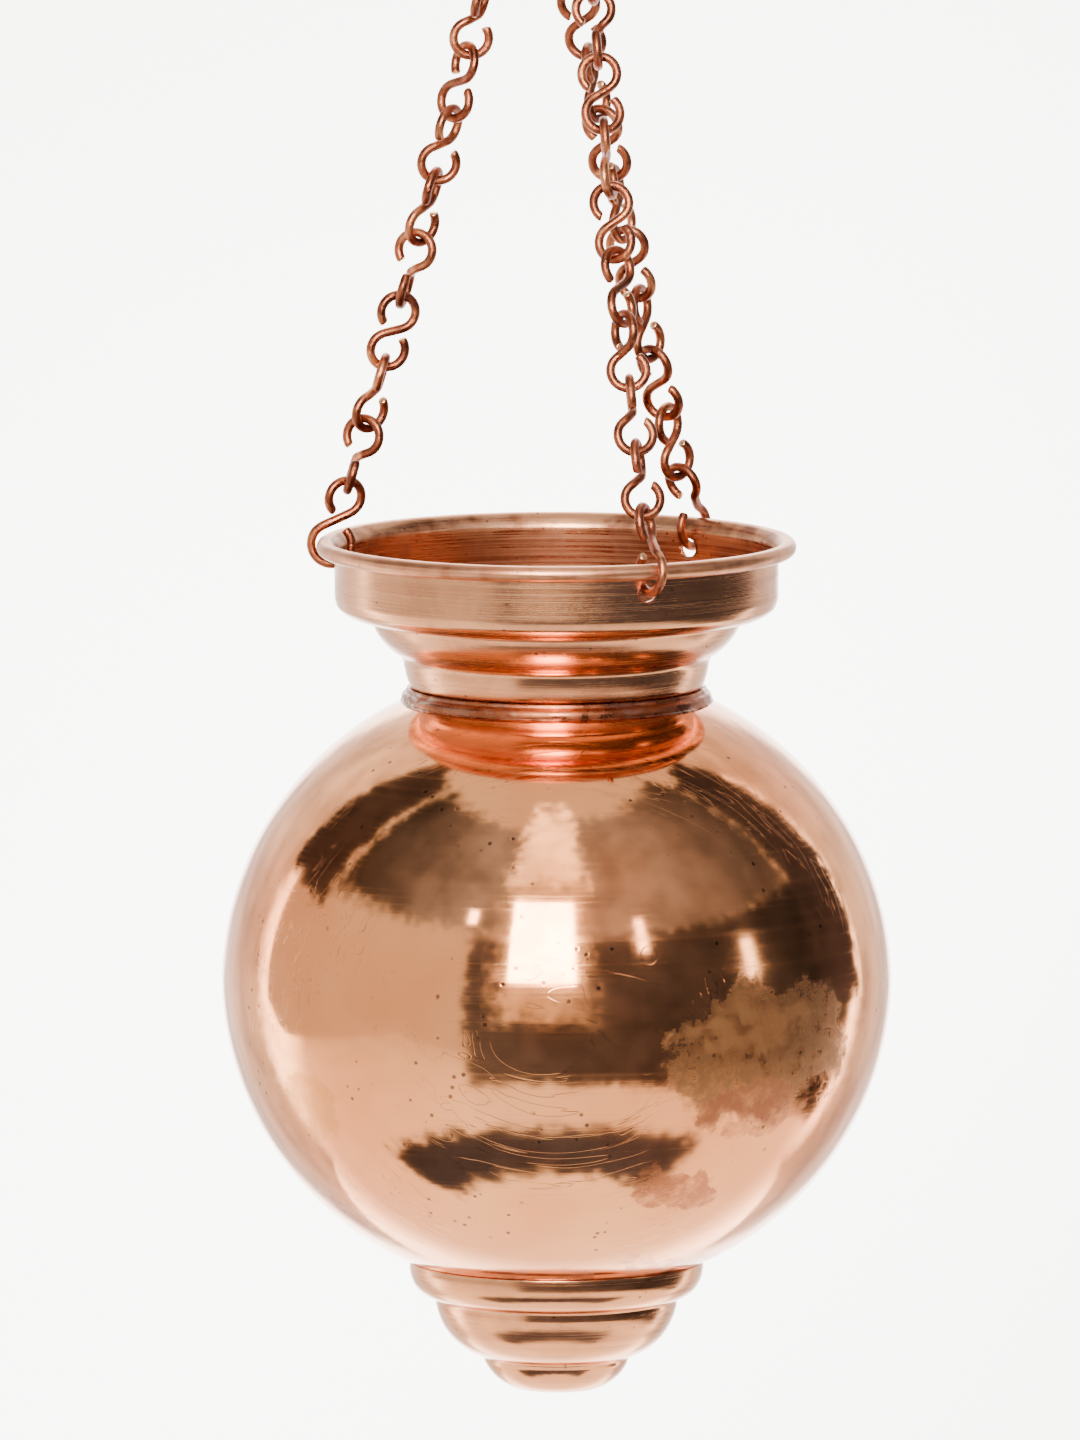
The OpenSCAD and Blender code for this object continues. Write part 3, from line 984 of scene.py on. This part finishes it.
@dataclass
class Chain:
    """One chain of S links from the ring down to its hole in the rim."""

    side: str
    bearing: float
    top: float
    twist: float
    sag: float
    upper: tuple[float, ...]
    lower: tuple[float, ...]
    count: int = 12
    eye: float = 4.35
    rim_eye: float = 5.0
    wire: float = 1.15
    last: float = 12.0
    gap: float = 0.12
    ring_gap: float = 0.45
    out: float = 55.9
    wall: float = 54.15
    rise: float = 5.2
    hole_drop: float = 5.3

    def ends(self, ring: Hanger) -> tuple[np.ndarray, np.ndarray]:
        """Middles of the chain's first eye, on the ring, and last eye, in the rim's hole."""
        bearing, roll = math.radians(self.bearing), math.radians(self.bearing + self.twist)
        out = (self.out - self.wall) / math.cos(roll - bearing)
        low = np.array([self.wall * math.cos(bearing) + out * math.cos(roll),
                        self.wall * math.sin(bearing) + out * math.sin(roll),
                        RIM_Z - self.hole_drop + self.rise])
        spot = np.array([self.top, 0, RING_Z - math.sqrt(ring.ring_r**2 - self.top**2)])
        reach = self.eye - ring.ring_wire - self.wire - self.ring_gap
        return spot + unit(low - spot) * reach, low

    def on(self, start: np.ndarray, end: np.ndarray, s: float) -> np.ndarray:
        """The point s along the chain, which sags in a parabola square to its straight line."""
        run = float(np.linalg.norm(end - start))
        way = unit(end - start)
        down = unit(np.array([0, 0, -1.0]) + way[2] * way)
        t = s / run
        return start + way * s + down * 4 * self.sag * t * (1 - t)

    def build(self, ring: Hanger, finish: Material) -> None:
        """Makes the links, each on its own body but for the first."""
        start, end = self.ends(ring)
        run = float(np.linalg.norm(end - start))
        join = 2 * self.eye - 2 * self.wire - self.gap
        span = (run - self.last - (self.count - 1) * join) / (self.count - 1)
        rolls = (*self.lower, self.bearing + self.twist)
        for i in range(self.count):
            final = i == self.count - 1
            s = i * (span + join)
            bent = BentWire(
                self.on(start, end, s), self.on(start, end, s + (self.last if final else span)),
                self.eye, self.rim_eye if final else self.eye, self.upper[i], rolls[i],
                self.wire, (295, 295), 100 * len(self.side) + i)
            piece = bent.build(f"{self.side}_s_link_{i + 1}")
            body = Body.CHAIN_TOPS.value if i == 0 else f"{self.side}_{i + 1}"
            settle(piece, (finish,), body, Slot.CHAIN, f"{self.side}_link_{i + 1}")


CHAINS = (
    Chain("left", 172.5, -7.1, 0, 1.5, (90, -15, 100, 75, -60, 60, 75, -20, 15, 85, -25, 25),
          (80, 5, 0, 5, -40, 10, 45, 80, 15, 40, 90)),
    Chain("back", 52.5, -2.8, 0, 3.0, (90, 10, 95, -10, 80, -25, 75, -10, 70, -40, 60, -40),
          (100, 20, 75, -20, 60, -10, 60, -25, 50, -25, 45)),
    Chain("front", -66.0, 5.1, 10, 3.0, (90, -10, 90, 0, 0, 90, 5, 45, -60, 90, 80, 70),
          (68, 10, 80, 90, 12, 75, -25, 55, 0, 10, 5)),
)


# Studio -------------------------------------------------------------------------------------


@dataclass(frozen=True)
class Card:
    """A curved studio card: a patch of a dome round the globe, between two bearings and heights.

    Bearings run from 0, towards the camera, to 90 on the right; heights are above the horizon.
    Its glow runs from glows[0] at the first bearing to glows[1] at the last, and it fades out over
    the last soft degrees at its edges, which clouds make ragged.
    """

    name: str
    bearings: tuple[float, float]
    heights: tuple[float, float]
    glows: tuple[float, float]
    tint: Colour = (1.0, 1.0, 1.0)
    reach: float = 2.2
    soft: float = 5.0
    ragged: float = 0.5


@dataclass
class Studio:
    """Pale floor and sweep, a ring of cards for the polish to mirror, soft lamps and the camera."""

    cards: tuple[Card, ...] = (
        Card("window", (-17, 7), (8, 38), (34.0, 34.0), reach=1.7, soft=1.2, ragged=0.1),
        Card("halo", (-26, 16), (-12, 50), (1.5, 1.2), (1.0, 0.95, 0.85), 1.8, 14.0, 0.3),
        Card("dark_room", (-33, 122), (-33, 26), (0.16, 0.035), (1.0, 1.15, 1.6), 2.0, 3.0),
        Card("ceiling_mid", (-24, 16), (40, 78), (4.2, 3.6), (1.0, 0.97, 0.9), 2.05, 9.0),
        Card("ceiling_left", (-97, -14), (23, 68), (0.07, 0.55), (1.0, 1.1, 1.4), 2.15, 6.0, 0.35),
        Card("ceiling_right", (8, 104), (20, 72), (0.75, 0.12), (1.0, 1.1, 1.4), 2.15, 6.0, 0.35),
        Card("left_gap", (-126, -95), (18, 64), (0.05, 0.10), (1.0, 1.0, 1.3), 1.95, 3.0),
        Card("right_gap", (99, 127), (-8, 62), (0.06, 0.06), (1.0, 1.1, 1.6), 1.95, 3.0),
        Card("left_wall", (-168, -118), (-70, 80), (1.9, 1.5), (1.0, 0.97, 0.93), 2.3, 8.0, 0.2),
        Card("right_wall", (122, 168), (-70, 80), (1.3, 1.9), (1.0, 0.97, 0.93), 2.3, 8.0, 0.2),
        Card("floor_edge", (-88, 72), (-70, -45), (0.07, 0.13), (1.0, 1.3, 2.2), 1.45, 5.0, 0.5),
        Card("lamp_left", (-34, -30), (28, 33), (16.0, 16.0), reach=1.7, soft=0.8, ragged=0.1),
        Card("lamp_right", (29, 33), (18, 30), (14.0, 14.0), reach=1.7, soft=0.8, ragged=0.1),
        Card("lamp_far", (68, 73), (5, 17), (10.0, 10.0), reach=1.7, soft=0.8, ragged=0.1),
    )
    distance: float = 6.0
    lift: float = 7.2
    aim: Point = (-0.00406, 0.0, -0.28475)
    view_height: float = 0.35424

    def camera(self) -> None:
        """The camera: far off and a little above, as a long lens sees the pot."""
        data = bpy.data.cameras.new("camera")
        data.sensor_fit = "AUTO"
        data.sensor_width = 36.0
        data.lens = 36.0 * self.distance / self.view_height
        data.clip_end = 100
        made = bpy.data.objects.new("camera", data)
        lift = math.radians(self.lift)
        made.location = (self.aim[0], -self.distance * math.cos(lift),
                         self.aim[2] + self.distance * math.sin(lift))
        made.rotation_euler = (math.pi / 2 - lift, 0, 0)
        bpy.context.scene.collection.objects.link(made)
        bpy.context.scene.camera = made

    def glow(self, card: Card) -> Material:
        """The card's material: a glow along it, let through at its ragged edges."""
        g = Graph(f"card_{card.name}")
        light = g.node("Emission", Color=(*card.tint, 1))
        strength = g.ranged(g.attribute("across"), 0.0, 1.0, *card.glows)
        cloud = g.ranged(g.noise(2.2, 3), 0.3, 0.7, 0.7, 1.3)
        g.link(g.times(strength, cloud), light.inputs["Strength"])
        edge = g.ranged(g.noise(9, 3, 0.6), 0.3, 0.7, -card.ragged, card.ragged)
        cover = g.plus(g.attribute("cover"), edge)
        g.cover(g.ranged(cover, 0.0, 1.0), light.outputs[0], solid_at=1)
        g.tree.nodes.remove(g.shader)
        return g.material

    def card(self, card: Card) -> None:
        """Makes one card, seen only in reflections: the point at bearing a and height h is
        centre + reach (cos h sin a, -cos h cos a, sin h).
        """
        rows, columns = 40, 60
        bearing = np.linspace(*card.bearings, columns)
        height = np.linspace(*card.heights, rows)
        a, h = np.meshgrid(np.radians(bearing), np.radians(height))
        way = np.stack([np.cos(h) * np.sin(a), -np.cos(h) * np.cos(a), np.sin(h)], -1)
        points = way.reshape(-1, 3) * card.reach / MM + [0, 0, GLOBE_Z]
        faces = [grid_faces(rows, columns, False, False)]
        made = mesh_object(f"card_{card.name}", points, faces, False)
        inward = [np.minimum(line - line[0], line[-1] - line) / card.soft
                  for line in (bearing, height)]
        cover = np.minimum(*np.meshgrid(*inward))
        point_attribute(made, "cover", np.minimum(cover, 2.0))
        point_attribute(made, "across", np.repeat(np.linspace(0, 1, columns)[None], rows, 0))
        made.data.materials.append(self.glow(card))
        made.visible_camera = False
        made.visible_shadow = False
        made.visible_diffuse = False
        made.visible_transmission = False

    def sweep(self) -> None:
        """Floor and backdrop in one: along Y the height is level, then a quarter of a circle,
        then upright, and the same all along X. It is clear when seen from outside.
        """
        bend = np.linspace(0, math.pi / 2, 24)
        low, high, front, back, radius, half_width, columns = -1.8, 4.0, -3.2, 2.6, 1.2, 5, 12
        y = np.concatenate([[front], back - radius + radius * np.sin(bend), [back]])
        z = np.concatenate([[low], low + radius - radius * np.cos(bend), [high]])
        x = np.linspace(half_width, -half_width, columns)
        points = np.stack([np.repeat(x[None], len(y), 0), np.repeat(y[:, None], columns, 1),
                           np.repeat(z[:, None], columns, 1)], -1).reshape(-1, 3) / MM
        made = mesh_object("sweep", points, [grid_faces(len(y), columns, False, False)], False)
        paper = Graph("pale_paper_painted_glow")
        # The paper's colour is clouded a little darker and lighter in big soft shapes: painted soft
        # shade on the backdrop.
        painted_shade = paper.ranged(paper.noise(1.3, 1), 0.35, 0.65)
        paper.link(paper.mixed(painted_shade, (0.80, 0.79, 0.77), (0.85, 0.85, 0.84)),
                   paper.shader.inputs["Base Color"])
        paper.shader.inputs["Roughness"].default_value = 0.9
        lit = paper.node("SeparateXYZ")
        paper.link(paper.place, lit.inputs[0])
        # The paper glows, from almost nothing at the front to strongly at the back, in big soft
        # clouds: painted light on the backdrop.
        away = paper.ranged(lit.outputs["Y"], 0.7, 1.7, 0.1, 6.2)
        cloud = paper.ranged(paper.noise(0.9, 1), 0.35, 0.65, 0.72, 1.12)
        paper.shader.inputs["Emission Color"].default_value = (1.0, 0.985, 0.95, 1)
        paper.link(paper.times(away, cloud), paper.shader.inputs["Emission Strength"])
        paper.shader.inputs["Specular IOR Level"].default_value = 0.1
        behind = paper.node("NewGeometry").outputs["Backfacing"]
        paper.cover(behind, paper.shader.outputs[0], solid_at=0)
        made.data.materials.append(paper.material)

    def lamp(self, name: str, place: Point, turn: Point, size: float, power: float) -> None:
        """A soft square lamp."""
        data = bpy.data.lights.new(name, "AREA")
        data.energy, data.size = power, size
        made = bpy.data.objects.new(name, data)
        made.location, made.rotation_euler = place, turn
        made.visible_glossy = False
        bpy.context.scene.collection.objects.link(made)

    def world(self) -> None:
        """An even pale surround."""
        made = bpy.data.worlds.new("surround")
        made.use_nodes = True
        sky = made.node_tree.nodes["Background"]
        sky.inputs["Color"].default_value = (1.0, 0.985, 0.965, 1)
        sky.inputs["Strength"].default_value = 1.25
        bpy.context.scene.world = made

    def build(self) -> None:
        """Sets up the camera, the surround, the sweep, the lamps and the cards."""
        self.camera()
        self.world()
        self.sweep()
        self.lamp("key", (-1.6, -2.0, 1.6), (math.radians(52), 0, math.radians(-38)), 1.4, 28)
        self.lamp("fill", (1.8, -1.8, 0.8), (math.radians(62), 0, math.radians(45)), 1.6, 14)
        for card in self.cards:
            self.card(card)


def main() -> None:
    """Builds the pot, its chains, ring and hook, and the studio."""
    Studio().build()
    mirror = MirrorCopper().build()
    band = BrushedCopper("band_copper", tarnish=0.45, polish=0.14).build()
    roll = BrushedCopper("roll_copper", bright=(0.44, 0.155, 0.075), brown=(0.25, 0.08, 0.04),
                         polish=0.26, grain=0.2).build()
    inside = BrushedCopper("inside_copper", bright=(0.30, 0.10, 0.045), brown=(0.15, 0.045, 0.024),
                           tarnish=0.8, polish=0.22).build()
    foot = BrushedCopper("foot_copper", bright=(0.88, 0.33, 0.125), tarnish=0.35,
                         polish=0.10, grain=0.4, line_depth=0.007).build()
    collar = SolderedCopper(cover=0.56).build()
    tin = SolderedCopper("solder", cover=0.44).build()
    wire = WireCopper().build()
    globe = Globe()
    globe.build(mirror)
    Neck(globe).build(collar, tin)
    Mouth().build(band, roll, inside, wire)
    Foot().build(foot)
    hanger = Hanger()
    hanger.build(wire)
    for chain in CHAINS:
        chain.build(hanger, wire)


if __name__ == "__main__":
    main()
